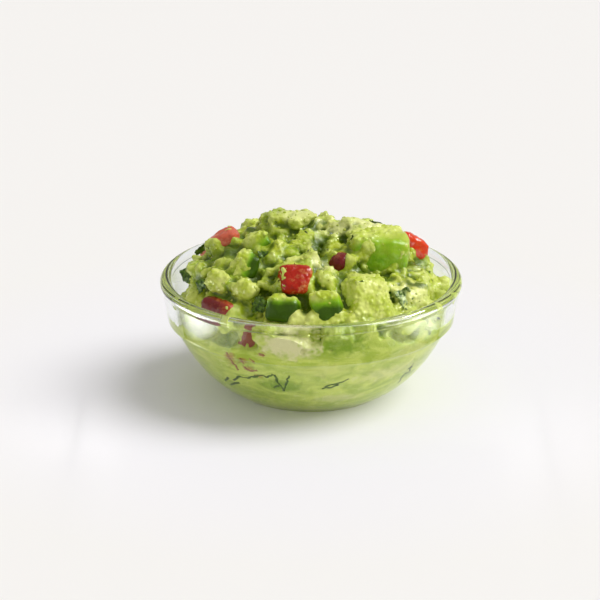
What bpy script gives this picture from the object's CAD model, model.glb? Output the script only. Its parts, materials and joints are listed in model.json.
# %% [markdown]
# # Guacamole in a clear glass bowl
# A small pressed-glass bowl holds a heap of chunky guacamole: mash with lumps and curds, chunks of
# avocado, dice of tomato and leaves of coriander. The solids of all these are packed already, at
# their real size. This lesson gives them their looks, in this order: camera, floor and light, the
# glass, the mash, the chunks, the dice, the leaves and the small things.

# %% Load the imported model
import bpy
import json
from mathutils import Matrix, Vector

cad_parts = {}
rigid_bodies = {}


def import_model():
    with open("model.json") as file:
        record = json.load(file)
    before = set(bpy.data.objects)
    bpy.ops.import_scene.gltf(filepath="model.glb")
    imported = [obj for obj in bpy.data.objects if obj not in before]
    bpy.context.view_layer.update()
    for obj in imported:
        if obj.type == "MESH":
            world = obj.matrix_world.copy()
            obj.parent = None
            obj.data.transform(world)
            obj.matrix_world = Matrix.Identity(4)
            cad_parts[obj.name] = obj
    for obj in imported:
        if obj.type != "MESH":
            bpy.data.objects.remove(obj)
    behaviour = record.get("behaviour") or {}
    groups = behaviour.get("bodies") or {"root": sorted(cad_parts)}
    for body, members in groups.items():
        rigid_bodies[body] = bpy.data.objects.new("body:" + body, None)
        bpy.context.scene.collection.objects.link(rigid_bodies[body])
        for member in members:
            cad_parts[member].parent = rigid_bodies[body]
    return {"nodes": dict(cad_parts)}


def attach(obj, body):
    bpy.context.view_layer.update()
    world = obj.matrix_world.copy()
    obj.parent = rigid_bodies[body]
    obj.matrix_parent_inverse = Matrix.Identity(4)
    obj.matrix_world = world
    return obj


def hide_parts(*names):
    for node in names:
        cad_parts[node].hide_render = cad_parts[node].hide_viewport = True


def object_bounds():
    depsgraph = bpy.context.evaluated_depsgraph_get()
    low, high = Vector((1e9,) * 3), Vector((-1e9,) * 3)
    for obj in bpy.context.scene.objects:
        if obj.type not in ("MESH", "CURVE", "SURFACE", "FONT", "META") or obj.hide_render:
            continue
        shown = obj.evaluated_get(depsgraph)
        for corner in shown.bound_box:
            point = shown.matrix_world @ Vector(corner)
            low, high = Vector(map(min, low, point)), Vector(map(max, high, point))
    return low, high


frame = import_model()
cad_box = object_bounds()
print("packed box in mm:", [round(1000 * (high - low), 1) for low, high in zip(*cad_box)])

# %% [markdown]
# ## Helpers for meshes
# Every finished piece sits at the origin with its place in its mesh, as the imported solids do. So
# the helpers work on points in the shared frame: they read and write them as arrays, merge the
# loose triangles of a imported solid, and turn the result of modifiers into a plain mesh.

# %% Helpers for meshes
import json
import math
import random

import bmesh
import bpy
import numpy as np
from mathutils import Vector, noise
from mathutils.bvhtree import BVHTree

MM = 0.001
MERGE = 0.001 * MM
BODY = "root"


def add_object(name, mesh):
    obj = bpy.data.objects.new(name, mesh)
    bpy.context.scene.collection.objects.link(obj)
    return obj


def from_bmesh(shape, name):
    mesh = bpy.data.meshes.new(name)
    shape.to_mesh(mesh)
    shape.free()
    return mesh


def points_of(mesh):
    co = np.empty(len(mesh.vertices) * 3, np.float32)
    mesh.vertices.foreach_get("co", co)
    return co.reshape(-1, 3).astype(float)


def normals_of(mesh):
    directions = np.empty(len(mesh.vertices) * 3, np.float32)
    mesh.vertex_normals.foreach_get("vector", directions)
    return directions.reshape(-1, 3).astype(float)


def move_points(mesh, co):
    mesh.vertices.foreach_set("co", co.astype(np.float32).ravel())
    mesh.update()


def swell(mesh, distance):
    """Moves every point out along its normal."""
    move_points(mesh, points_of(mesh) + distance * normals_of(mesh))


def mark(mesh, name, values):
    """Keeps a number for every point, which trees and materials read by its name."""
    found = mesh.attributes.get(name) or mesh.attributes.new(name, "FLOAT", "POINT")
    found.data.foreach_set("value", np.asarray(values, np.float32))


def make_plain(obj):
    """Puts the result of the modifiers in the mesh."""
    graph = bpy.context.evaluated_depsgraph_get()
    mesh = bpy.data.meshes.new_from_object(obj.evaluated_get(graph))
    obj.modifiers.clear()
    obj.data = mesh
    return obj


def remeshed(obj, voxel):
    """Joins what overlaps into one skin of even faces."""
    skin = obj.modifiers.new("Voxels", "REMESH")
    skin.mode = "VOXEL"
    skin.voxel_size = voxel
    skin.use_smooth_shade = True
    return make_plain(obj)


def node_copy(node, name):
    """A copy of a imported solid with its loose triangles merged."""
    shape = bmesh.new()
    shape.from_mesh(frame["nodes"][node].data)
    bmesh.ops.remove_doubles(shape, verts=shape.verts, dist=MERGE)
    mesh = from_bmesh(shape, name)
    for attribute in [a for a in mesh.attributes if a.name in ("custom_normal", "sharp_face")]:
        mesh.attributes.remove(attribute)
    mesh.shade_smooth()
    return add_object(name, mesh)


def joined(name, objects):
    """One mesh of all these objects, which are removed."""
    shape = bmesh.new()
    for obj in objects:
        shape.from_mesh(obj.data)
        bpy.data.objects.remove(obj)
    return add_object(name, from_bmesh(shape, name))


def smooth_step(values, low, high):
    t = np.clip((values - low) / (high - low), 0.0, 1.0)
    return t * t * (3.0 - 2.0 * t)


def triangles(obj):
    return sum(len(face.vertices) - 2 for face in obj.data.polygons)


NODES = sorted(frame["nodes"])
CHUNK_NODES = [name for name in NODES if name.startswith("avocado_")]
DICE_NODES = [name for name in NODES if name.startswith("tomato_")]
LEAF_NODES = [name for name in NODES if name.startswith("coriander_")]
print(len(CHUNK_NODES), "chunks,", len(DICE_NODES), "dice,", len(LEAF_NODES), "leaves")

# %% [markdown]
# ## Helpers for node trees
# Materials and Geometry Nodes are both trees, so one small helper adds a node with its settings
# and its inputs. An input is a plain value or another node's output, which it then links to.

# %% Helpers for node trees


def add_node(tree, kind, inputs=None, **settings):
    """A node of that kind. Inputs are given by name or number, as values or as outputs to link."""
    made = tree.nodes.new(kind)
    for setting, value in settings.items():
        setattr(made, setting, value)
    for key, value in (inputs or {}).items():
        socket = made.inputs[key]
        if isinstance(value, bpy.types.NodeSocket):
            tree.links.new(value, socket)
        else:
            socket.default_value = value
    return made


def math_node(tree, operation, a, b=0.0):
    return add_node(tree, "ShaderNodeMath", {0: a, 1: b}, operation=operation).outputs[0]


def mix_colours(tree, share, a, b):
    """A colour between a and b. A plain colour is given as three numbers."""
    full = [(*c, 1.0) if isinstance(c, tuple) and len(c) == 3 else c for c in (a, b)]
    inputs = {0: share, 6: full[0], 7: full[1]}
    return add_node(tree, "ShaderNodeMix", inputs, data_type="RGBA").outputs[2]


def spread(tree, value, low, high):
    """The value's range from low to high, stretched to 0 to 1 and cut off there."""
    inputs = {"Value": value, "From Min": low, "From Max": high}
    return add_node(tree, "ShaderNodeMapRange", inputs).outputs[0]


def noise_texture(tree, coordinates, size, detail=2.0, roughness=0.5):
    """Cloudy noise whose features are about that size in metres."""
    inputs = {"Vector": coordinates, "Scale": 1.0 / size, "Detail": detail, "Roughness": roughness}
    return add_node(tree, "ShaderNodeTexNoise", inputs).outputs["Fac"]


def cell_texture(tree, coordinates, size, feature="SMOOTH_F1"):
    """How far a point is from the middle of its cell, for cells of about that size."""
    inputs = {"Vector": coordinates, "Scale": 1.0 / size}
    return add_node(tree, "ShaderNodeTexVoronoi", inputs, feature=feature).outputs["Distance"]


def new_material(name, **values):
    """A material with one Principled shader, whose inputs are set by name."""
    made = bpy.data.materials.new(name)
    made.use_nodes = True
    tree = made.node_tree
    shader = tree.nodes["Principled BSDF"]
    for key, value in values.items():
        shader.inputs[key.replace("_", " ")].default_value = value
    return made, tree, shader


def object_coordinates(tree):
    return add_node(tree, "ShaderNodeTexCoord").outputs["Object"]


def kept_number(tree, name):
    """A number that was marked on the mesh."""
    return add_node(tree, "ShaderNodeAttribute", attribute_name=name).outputs["Fac"]


def bump(tree, shader, height, distance, strength=1.0):
    inputs = {"Height": height, "Distance": distance, "Strength": strength}
    made = add_node(tree, "ShaderNodeBump", inputs)
    tree.links.new(made.outputs["Normal"], shader.inputs["Normal"])


# %% [markdown]
# ## Camera
# The bowl is seen from a little above, about 20 degrees, by a long lens: the rim is an ellipse
# whose height is a third of its width. The camera looks level with the bowl's axis from the
# front, and the bowl stands a little right of the middle of the square picture.

# %% Camera
VIEW_TILT = math.radians(20.1)
VIEW_DISTANCE = 0.9
PICTURE_WIDTH = 600 / 3333
SENSOR = 36.0
AXIS_HEIGHT = 17.55 * MM
BOWL_RIGHT_OF_MIDDLE = 3.3 * MM
BOWL_BELOW_MIDDLE = 8.76 * MM


def make_camera():
    ahead = Vector((0, math.cos(VIEW_TILT), -math.sin(VIEW_TILT)))
    up = Vector((0, math.sin(VIEW_TILT), math.cos(VIEW_TILT)))
    aim = Vector((-BOWL_RIGHT_OF_MIDDLE, 0, AXIS_HEIGHT)) + BOWL_BELOW_MIDDLE * up
    data = bpy.data.cameras.new("camera")
    data.sensor_width = SENSOR
    data.lens = SENSOR * VIEW_DISTANCE / PICTURE_WIDTH
    data.clip_start = 0.01
    camera = add_object("camera", data)
    camera.location = aim - VIEW_DISTANCE * ahead
    camera.rotation_euler = ahead.to_track_quat("-Z", "Y").to_euler()
    bpy.context.scene.camera = camera
    return data.lens


print("lens in mm:", round(make_camera(), 1))

# %% [markdown]
# ## Floor and light
# The bowl stands on a plain white sheet. One large soft light high at the right gives the broad
# shadow on the left, and light from all round fills it. A sun with a wide angle gives the same
# soft edge and lights the sheet evenly. Glass shows what is reflected in it, so two upright white
# cards stand at the sides for its gloss alone. A dark card lies in front, as photographers of
# glass do it: the bead of the rim shows it as a dark line. The cards glow less towards their edges,
# as a soft box does, and a small one overhead gives the wet curds their glints. Light that the food throws back would tint the sheet round it more than in
# the photo, so the sheet is a touch bluer there.

# %% Floor and light
FLOOR_RADIUS = 8.0
FLOOR_COLOUR = (0.885, 0.868, 0.85)
FLOOR_NEAR_BOWL = (0.875, 0.858, 0.925)
NEAR_BOWL = 0.04
FAR_FROM_BOWL = 0.13
SKY_TOP = (1.0, 0.99, 0.975)
SKY_LEVEL = (0.62, 0.62, 0.61)
SKY_STRENGTH = 0.53
KEY_HEIGHT = math.radians(50)
KEY_BEHIND = math.radians(2)
KEY_STRENGTH = 2.31
KEY_ANGLE = math.radians(38)
LEFT_CARD_STRENGTH = 19.0
RIGHT_CARD_STRENGTH = 11.0
OVER_CARD_STRENGTH = 110.0
DARK_CARD_STRENGTH = 0.03
CARD_STEPS = 12


def make_floor():
    shape = bmesh.new()
    bmesh.ops.create_circle(shape, cap_ends=True, segments=96, radius=FLOOR_RADIUS)
    floor = add_object("floor", from_bmesh(shape, "floor"))
    made, tree, shader = new_material("white sheet", Roughness=0.85)
    shader.inputs["Specular IOR Level"].default_value = 0.1
    grain = spread(tree, noise_texture(tree, object_coordinates(tree), 0.4), 0.3, 0.7)
    darker = tuple(0.995 * value for value in FLOOR_COLOUR)
    colour = mix_colours(tree, grain, darker, FLOOR_COLOUR)
    away = add_node(tree, "ShaderNodeVectorMath", {0: object_coordinates(tree)}, operation="LENGTH")
    near = spread(tree, away.outputs["Value"], FAR_FROM_BOWL, NEAR_BOWL)
    colour = mix_colours(tree, near, colour, FLOOR_NEAR_BOWL)
    tree.links.new(colour, shader.inputs["Base Color"])
    floor.data.materials.append(made)


def make_sky():
    world = bpy.data.worlds.new("soft light all round")
    bpy.context.scene.world = world
    world.use_nodes = True
    tree = world.node_tree
    direction = add_node(tree, "ShaderNodeTexCoord").outputs["Generated"]
    height = add_node(tree, "ShaderNodeSeparateXYZ", {0: direction}).outputs["Z"]
    colour = mix_colours(tree, spread(tree, height, 0.0, 0.8), SKY_LEVEL, SKY_TOP)
    background = tree.nodes["Background"]
    tree.links.new(colour, background.inputs["Color"])
    background.inputs["Strength"].default_value = SKY_STRENGTH


def make_key():
    data = bpy.data.lights.new("key", "SUN")
    data.energy = KEY_STRENGTH
    data.angle = KEY_ANGLE
    key = add_object("key", data)
    flat = math.cos(KEY_HEIGHT)
    towards = Vector((flat * math.cos(KEY_BEHIND), flat * math.sin(KEY_BEHIND), math.sin(KEY_HEIGHT)))
    key.rotation_euler = (-towards).to_track_quat("-Z", "Y").to_euler()


def make_card(name, corners, strength, even=False):
    """A card that only reflections show, with less glow towards its edges unless it is even."""
    low_near, low_far, high_far, high_near = [Vector(corner) for corner in corners]
    points = []
    glow = []
    for i in range(CARD_STEPS + 1):
        for j in range(CARD_STEPS + 1):
            u, v = i / CARD_STEPS, j / CARD_STEPS
            points.append(low_near.lerp(low_far, u).lerp(high_near.lerp(high_far, u), v))
            glow.append(1.0 if even else math.sin(math.pi * u) ** 1.5 * math.sin(math.pi * v) ** 0.7)
    row = CARD_STEPS + 1
    starts = [i * row + j for i in range(CARD_STEPS) for j in range(CARD_STEPS)]
    mesh = bpy.data.meshes.new(name)
    mesh.from_pydata(points, [], [(k, k + 1, k + row + 1, k + row) for k in starts])
    mark(mesh, "glow", glow)
    card = add_object(name, mesh)
    made = bpy.data.materials.new(name)
    made.use_nodes = True
    tree = made.node_tree
    power = math_node(tree, "MULTIPLY", kept_number(tree, "glow"), strength)
    glow_node = add_node(tree, "ShaderNodeEmission", {"Strength": power})
    tree.links.new(glow_node.outputs[0], tree.nodes["Material Output"].inputs["Surface"])
    card.data.materials.append(made)
    card.visible_camera = False
    card.visible_diffuse = False
    card.visible_transmission = False
    card.visible_shadow = False
    return card


def upright(x, near, far, low, high):
    """Corners of an upright card at x, from y near to y far."""
    return [(x, near, low), (x, far, low), (x, far, high), (x, near, high)]


def lying(half_width, near, far, height, middle=0.0):
    """Corners of a card that lies flat, middle giving its place from left to right."""
    return [(middle - half_width, near, height), (middle + half_width, near, height),
            (middle + half_width, far, height), (middle - half_width, far, height)]


make_floor()
make_sky()
make_key()
make_card("card_left", upright(-0.068, -0.064, 0.004, 0.0005, 0.036), LEFT_CARD_STRENGTH)
make_card("card_right", upright(0.068, -0.086, 0.006, 0.0005, 0.034), RIGHT_CARD_STRENGTH)
make_card("card_over", lying(0.06, -0.03, 0.10, 0.26, middle=0.26), OVER_CARD_STRENGTH)
dark = make_card("card_dark", lying(0.055, -0.16, -0.0465, 0.0005), DARK_CARD_STRENGTH, even=True)
dark.visible_transmission = True
bpy.context.scene.view_settings.view_transform = "Standard"
print("floor, sky, key and four cards")

# %% [markdown]
# ## The glass bowl
# The real bowl is pressed in a mould: a round bead at the rim, a straight band, a small step that
# lets bowls stack, and a curved body on a flat foot ring. It is one turned shape, so the profile
# runs from the top of the bead down the outside, under the foot and up the inside, and Screw
# turns it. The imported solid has 60 sides; here it has many more, because clear glass shows every
# flat side as a streak.

# %% The glass bowl
RIM_RADIUS = 45.0 * MM
BOWL_HEIGHT = 35.1 * MM
BEAD_RADIUS = 1.75 * MM
SHOULDER_RADIUS = 42.8 * MM
SHOULDER_Z = 22.2 * MM
SHOULDER_STEP = 1.5 * MM
SHOULDER_ROUND = 0.6 * MM
BODY_BELLY = Vector((33.9 * MM, 5.5 * MM))
FOOT_RADIUS = 23.2 * MM
FOOT_ROUND = 0.6 * MM
FOOT_RING_WIDTH = 4.4 * MM
FOOT_RECESS = 0.7 * MM
WALL = 2.7 * MM
FLOOR_THICKNESS = 3.2 * MM
FLOOR_CORNER = 1.5 * MM
BELLY_THICKNESS = Vector((2.2 * MM, -1.9 * MM))
LEDGE_RISE = 1.8 * MM
BODY_POINTS = 28
GLASS_STEPS = 216
GLASS_TINT = (0.935, 0.965, 0.945, 1.0)
GLASS_IOR = 1.5


def curve(start, control, end, steps):
    """Points of a quadratic curve, both ends among them."""
    points = []
    for i in range(steps + 1):
        t = i / steps
        points.append((1 - t) ** 2 * start + 2 * t * (1 - t) * control + t**2 * end)
    return points


def straight(start, end, steps):
    """Points between both ends, closer to each other near the ends, to keep the shading even."""
    shares = [0.5 - 0.5 * math.cos(math.pi * i / steps) for i in range(1, steps)]
    return [start.lerp(end, share) for share in shares]


def bead_arc(start, stop, step):
    middle = Vector((RIM_RADIUS - BEAD_RADIUS, BOWL_HEIGHT - BEAD_RADIUS))
    turns = [math.radians(degrees) for degrees in range(start, stop + step, step)]
    return [middle + BEAD_RADIUS * Vector((math.cos(a), math.sin(a))) for a in turns]


def outside_of_bowl():
    """From the top of the bead down the outside and under the foot to the axis."""
    body_top = Vector((SHOULDER_RADIUS - SHOULDER_STEP, SHOULDER_Z - SHOULDER_ROUND))
    band_foot = Vector((SHOULDER_RADIUS, SHOULDER_Z + SHOULDER_ROUND))
    ledge = Vector((SHOULDER_RADIUS - 0.2 * SHOULDER_ROUND, SHOULDER_Z))
    points = bead_arc(90, -50, -10)
    points += straight(points[-1], band_foot, 8)
    points += curve(band_foot, Vector((SHOULDER_RADIUS, SHOULDER_Z)), ledge, 3)
    points += curve(body_top, BODY_BELLY, Vector((FOOT_RADIUS, FOOT_ROUND)), BODY_POINTS)
    points.append(Vector((FOOT_RADIUS - FOOT_ROUND, 0.0)))
    points.append(Vector((FOOT_RADIUS - FOOT_RING_WIDTH, 0.0)))
    points.append(Vector((FOOT_RADIUS - FOOT_RING_WIDTH - FOOT_RECESS, FOOT_RECESS)))
    points.append(Vector((0.0, FOOT_RECESS)))
    return points


def inside_of_bowl():
    """From the axis over the floor and up the wall to just under the bead."""
    floor_edge = Vector((FOOT_RADIUS - WALL - FLOOR_CORNER, FLOOR_THICKNESS))
    ledge = Vector((SHOULDER_RADIUS - SHOULDER_STEP - WALL, SHOULDER_Z))
    points = [Vector((0.0, FLOOR_THICKNESS))]
    points += curve(floor_edge, BODY_BELLY - BELLY_THICKNESS, ledge, BODY_POINTS)
    over_ledge = Vector((SHOULDER_RADIUS - WALL, SHOULDER_Z + LEDGE_RISE))
    under_bead = Vector((RIM_RADIUS - 2 * BEAD_RADIUS, BOWL_HEIGHT - BEAD_RADIUS))
    points.append(over_ledge)
    points += straight(over_ledge, under_bead, 8)
    points.append(under_bead)
    return points


def glass_material():
    made, tree, shader = new_material("clear pressed glass", Roughness=0.0, IOR=GLASS_IOR)
    shader.inputs["Transmission Weight"].default_value = 1.0
    shader.inputs["Base Color"].default_value = GLASS_TINT
    waves = noise_texture(tree, object_coordinates(tree), 9 * MM, detail=1.0)
    bump(tree, shader, waves, 0.12 * MM, strength=0.35)
    return made


def make_glass():
    profile = outside_of_bowl() + inside_of_bowl() + bead_arc(170, 90, -10)
    mesh = bpy.data.meshes.new("bowl_glass")
    points = [(p.x, 0.0, p.y) for p in profile]
    mesh.from_pydata(points, [(i, i + 1) for i in range(len(points) - 1)], [])
    bowl = add_object("bowl_glass", mesh)
    turn = bowl.modifiers.new("Turn", "SCREW")
    turn.axis = "Z"
    turn.steps = turn.render_steps = GLASS_STEPS
    turn.use_merge_vertices = True
    turn.merge_threshold = 0.01 * MM
    make_plain(bowl)
    shape = bmesh.new()
    shape.from_mesh(bowl.data)
    bmesh.ops.remove_doubles(shape, verts=shape.verts, dist=0.01 * MM)
    bowl.data = from_bmesh(shape, "bowl_glass")
    bowl.data.shade_smooth()
    bowl.data.set_sharp_from_angle(angle=math.radians(50))
    bowl.data.materials.append(glass_material())
    bowl.visible_diffuse = False
    bowl.visible_shadow = False
    return bowl


bowl = make_glass()
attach(bowl, BODY)
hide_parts("glass_bowl")
print("glass triangles:", triangles(bowl))

# %% [markdown]
# ## Where the food meets the glass
# Mash that touches glass shows no gap: it looks wet and smooth, because the light passes straight
# from one to the other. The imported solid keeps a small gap, so points near the wall are moved out
# to reach just into it. The distance to the wall is worked out in (radius, height), from the
# inside profile of the bowl.

# %% Distance to the glass
REACH_INTO_GLASS = 0.15 * MM


def wall_distance(co):
    """Distance from the inside of the bowl, above zero inside, and the wall's inward normal."""
    radius = np.hypot(co[:, 0], co[:, 1])
    at = np.stack([radius, co[:, 2]], 1)
    best = np.full(len(co), 1.0)
    signed = np.full(len(co), 1.0)
    facing = np.zeros((len(co), 2))
    wall = np.array([tuple(p) for p in inside_of_bowl()])
    for start, end in zip(wall[:-1], wall[1:]):
        along = end - start
        share = np.clip(((at - start) @ along) / (along @ along), 0.0, 1.0)
        away = at - (start + share[:, None] * along)
        inward = np.array([-along[1], along[0]]) / np.linalg.norm(along)
        distance = np.linalg.norm(away, axis=1)
        nearer = distance < best
        best[nearer] = distance[nearer]
        signed[nearer] = (distance * np.sign(away @ inward))[nearer]
        facing[nearer] = inward
    return signed, facing


def press_on_glass(co, near, far):
    """Moves points nearer than near into the wall's face, and eases off up to far."""
    distance, facing = wall_distance(co)
    share = 1.0 - smooth_step(distance, near, far)
    move = -share * (distance + REACH_INTO_GLASS)
    radius = np.maximum(np.hypot(co[:, 0], co[:, 1]), MERGE)
    outward = move * facing[:, 0] / radius
    pressed = co.copy()
    pressed[:, 0] += outward * co[:, 0]
    pressed[:, 1] += outward * co[:, 1]
    pressed[:, 2] += move * facing[:, 1]
    return pressed


heap_distance, _ = wall_distance(points_of(frame["nodes"]["guacamole"].data))
print("mash to glass in mm, least and most:", round(1000 * heap_distance.min(), 2),
      round(1000 * heap_distance.max(), 2))

# %% [markdown]
# ## Relief and scattering by Geometry Nodes
# Mash is lumps of many sizes. Two trees make them on any surface. The relief tree pushes the
# surface out between the borders of rounded cells, which leaves creases where lumps meet. The
# scatter tree sets small shapes on the surface, each with its own size and turn. Both only work
# where the number kept as "bare" is above zero, so they spare the glass and the chunks.

# %% Trees for relief and scattering


def new_tree(name, inputs):
    """An empty geometry tree with named inputs, given as (name, socket type, value)."""
    tree = bpy.data.node_groups.new(name, "GeometryNodeTree")
    tree.interface.new_socket("Geometry", in_out="INPUT", socket_type="NodeSocketGeometry")
    tree.interface.new_socket("Geometry", in_out="OUTPUT", socket_type="NodeSocketGeometry")
    for label, kind, value in inputs:
        socket = tree.interface.new_socket(label, in_out="INPUT", socket_type=kind)
        if value is not None:
            socket.default_value = value
    return tree, tree.nodes.new("NodeGroupInput").outputs, tree.nodes.new("NodeGroupOutput").inputs


def run_tree(obj, tree, values):
    """Adds the tree as a modifier, with its inputs set by their identifiers, and applies it."""
    modifier = obj.modifiers.new(tree.name, "NODES")
    modifier.node_group = tree
    for item in tree.interface.items_tree:
        if item.in_out == "INPUT" and item.name in values:
            modifier[item.identifier] = values[item.name]
    return make_plain(obj)


def relief_tree():
    numbers = [("Cell size", 3 * MM), ("Height", 1 * MM), ("Shift", 0.0), ("Warp", 0.6)]
    inputs = [(name, "NodeSocketFloat", value) for name, value in numbers]
    tree, given, result = new_tree("Rounded relief", inputs)
    position = add_node(tree, "GeometryNodeInputPosition").outputs[0]
    scale = math_node(tree, "DIVIDE", 1.0, given["Cell size"])
    placed = add_node(tree, "ShaderNodeVectorMath", {0: position, "Scale": scale}, operation="SCALE")
    moved = add_node(tree, "ShaderNodeVectorMath", {0: placed.outputs[0], 1: given["Shift"]})
    clouds = add_node(tree, "ShaderNodeTexNoise", {"Vector": moved.outputs[0], "Scale": 0.7})
    warp = {0: clouds.outputs["Color"], "Scale": given["Warp"]}
    warped = add_node(tree, "ShaderNodeVectorMath", warp, operation="SCALE")
    both = {0: moved.outputs[0], 1: warped.outputs[0]}
    bent = add_node(tree, "ShaderNodeVectorMath", both).outputs[0]
    cells = add_node(tree, "ShaderNodeTexVoronoi", {"Vector": bent, "Scale": 1.0}, feature="SMOOTH_F1")
    rise = math_node(tree, "SUBTRACT", 0.45, cells.outputs["Distance"])
    rise = math_node(tree, "MULTIPLY", rise, given["Height"])
    bare = add_node(tree, "GeometryNodeInputNamedAttribute", {"Name": "bare"}).outputs[0]
    rise = math_node(tree, "MULTIPLY", rise, bare)
    normal = add_node(tree, "GeometryNodeInputNormal").outputs[0]
    offset = add_node(tree, "ShaderNodeVectorMath", {0: normal, "Scale": rise}, operation="SCALE")
    inputs = {"Geometry": given["Geometry"], "Offset": offset.outputs[0]}
    raised = add_node(tree, "GeometryNodeSetPosition", inputs)
    tree.links.new(raised.outputs[0], result[0])
    return tree


def scatter_tree(name, lying):
    """Sets shapes of a collection on the surface. Lying ones keep flat on it."""
    inputs = [
        ("Shapes", "NodeSocketCollection", None),
        ("Finish", "NodeSocketMaterial", None),
        ("Spacing", "NodeSocketFloat", 1 * MM),
        ("Density", "NodeSocketFloat", 1.0e6),
        ("Smallest", "NodeSocketFloat", 0.5),
        ("Largest", "NodeSocketFloat", 1.0),
        ("Sink", "NodeSocketFloat", 0.0),
        ("Tilt", "NodeSocketFloat", 0.5),
        ("Seed", "NodeSocketInt", 0),
    ]
    tree, given, result = new_tree(name, inputs)
    bare = add_node(tree, "GeometryNodeInputNamedAttribute", {"Name": "bare"}).outputs[0]
    spots = {"Mesh": given["Geometry"], "Distance Min": given["Spacing"],
             "Density Max": given["Density"], "Density Factor": bare, "Seed": given["Seed"]}
    spread_out = add_node(tree, "GeometryNodeDistributePointsOnFaces", spots,
                          distribute_method="POISSON")
    sizes = {2: given["Smallest"], 3: given["Largest"], "Seed": given["Seed"]}
    size = add_node(tree, "FunctionNodeRandomValue", sizes, data_type="FLOAT").outputs[1]
    depth = math_node(tree, "MULTIPLY", math_node(tree, "MULTIPLY", size, given["Sink"]), -MM)
    down = {0: spread_out.outputs["Normal"], "Scale": depth}
    offset = add_node(tree, "ShaderNodeVectorMath", down, operation="SCALE").outputs[0]
    sunk = add_node(tree, "GeometryNodeSetPosition",
                    {"Geometry": spread_out.outputs["Points"], "Offset": offset})
    tilt = given["Tilt"] if lying else math.pi
    low = add_node(tree, "ShaderNodeCombineXYZ",
                   {0: math_node(tree, "MULTIPLY", tilt, -1.0),
                    1: math_node(tree, "MULTIPLY", tilt, -1.0), 2: -math.pi}).outputs[0]
    high = add_node(tree, "ShaderNodeCombineXYZ", {0: tilt, 1: tilt, 2: math.pi}).outputs[0]
    turn = add_node(tree, "FunctionNodeRandomValue", {0: low, 1: high, "Seed": given["Seed"]},
                    data_type="FLOAT_VECTOR").outputs[0]
    turned = add_node(tree, "FunctionNodeRotateRotation",
                      {0: spread_out.outputs["Rotation"], 1: turn}, rotation_space="LOCAL")
    kinds = add_node(tree, "GeometryNodeCollectionInfo",
                     {"Collection": given["Shapes"], "Separate Children": True,
                      "Reset Children": True})
    placed = add_node(tree, "GeometryNodeInstanceOnPoints",
                      {"Points": sunk.outputs[0], "Instance": kinds.outputs[0],
                       "Pick Instance": True, "Rotation": turned.outputs[0], "Scale": size})
    real = add_node(tree, "GeometryNodeRealizeInstances", {0: placed.outputs[0]})
    shaded = add_node(tree, "GeometryNodeSetMaterial",
                      {"Geometry": real.outputs[0], "Material": given["Finish"]})
    tree.links.new(shaded.outputs[0], result[0])
    return tree


RELIEF = relief_tree()
SCATTER = scatter_tree("Scattered any way up", lying=False)
SCATTER_FLAT = scatter_tree("Scattered lying", lying=True)
print("trees:", RELIEF.name, SCATTER.name, SCATTER_FLAT.name)

# %% [markdown]
# ## Lumps and curds
# Under a fork avocado breaks unevenly: lumps of some millimetres that keep an edge or two from
# the knife, and soft curds round them. A few kinds of each are enough, because each copy has its
# own size and turn. A curd is a ball pushed in and out by noise. A lump is the soft meeting of
# some random planes, so it has faint flats, with the same noise on top.

# %% Kinds of lump and curd


def shape_store(name):
    """A collection for shapes that are only copied. It is removed at the end."""
    store = bpy.data.collections.new(name)
    bpy.context.scene.collection.children.link(store)
    return store


def random_direction(draw):
    height = draw.uniform(-1, 1)
    turn = draw.uniform(0, math.tau)
    flat = math.sqrt(1 - height**2)
    return Vector((flat * math.cos(turn), flat * math.sin(turn), height))


def rough_ball(name, seed, fineness, planes=0):
    """A rough ball of radius one millimetre, with soft flats where planes are asked for."""
    draw = random.Random(seed)
    offset = Vector([draw.uniform(0, 50) for _ in range(3)])
    stretch = Vector([draw.uniform(0.75, 1.2) for _ in range(3)])
    cuts = [(random_direction(draw), draw.uniform(0.7, 1.0)) for _ in range(planes)]
    shape = bmesh.new()
    bmesh.ops.create_icosphere(shape, subdivisions=fineness, radius=1.0)
    for vertex in shape.verts:
        out = vertex.co.normalized()
        reach = 1.0
        if cuts:
            sharpness = 7
            closeness = sum((max(out.dot(way), 0.0) / depth) ** sharpness for way, depth in cuts)
            reach = (closeness + 0.6) ** (-1 / sharpness)
        reach *= 1.0 + 0.32 * noise.noise(1.5 * out + offset) + 0.16 * noise.noise(3.6 * out + offset)
        vertex.co = MM * Vector([a * b for a, b in zip(out * reach, stretch)])
    mesh = from_bmesh(shape, name)
    mesh.shade_smooth()
    return mesh


def store_balls(name, kinds, fineness, planes):
    store = shape_store(name)
    for i in range(kinds):
        mesh = rough_ball(f"{name}_{i}", 500 + i, fineness, planes)
        store.objects.link(bpy.data.objects.new(mesh.name, mesh))
    return store


curds = store_balls("curd", 6, 2, 0)
lumps = store_balls("lump", 8, 3, 9)

# %% [markdown]
# ## The mash
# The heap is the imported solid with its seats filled: shrunken copies of the chunks and dice go
# in, and swelling then shrinking the joined skin closes the narrow gaps round them. It is then
# thinned a little where it is bare, grooves are pressed in where lumps part, and lumps and curds
# are scattered on it. Remeshing fuses them, which leaves the dark creases of real mash. Last,
# what lies at the glass is pressed against it.

# %% The mash
HEAP_VOXEL = 0.42 * MM
SHRINK_PIECES = 0.3 * MM
CLOSE_GAPS = 0.5 * MM
ROOM_FOR_LUMPS = 1.7 * MM
AT_GLASS = 1.1 * MM
CLEAR_OF_GLASS = 1.9 * MM
TOP_MARGIN = 0.1 * MM
LIFT_SHARE = 1.6 * MM
HEAP_CORE = np.array((0.0, 0.0, 22.0)) * MM
HEAP_TRIANGLES = 190_000

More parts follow.
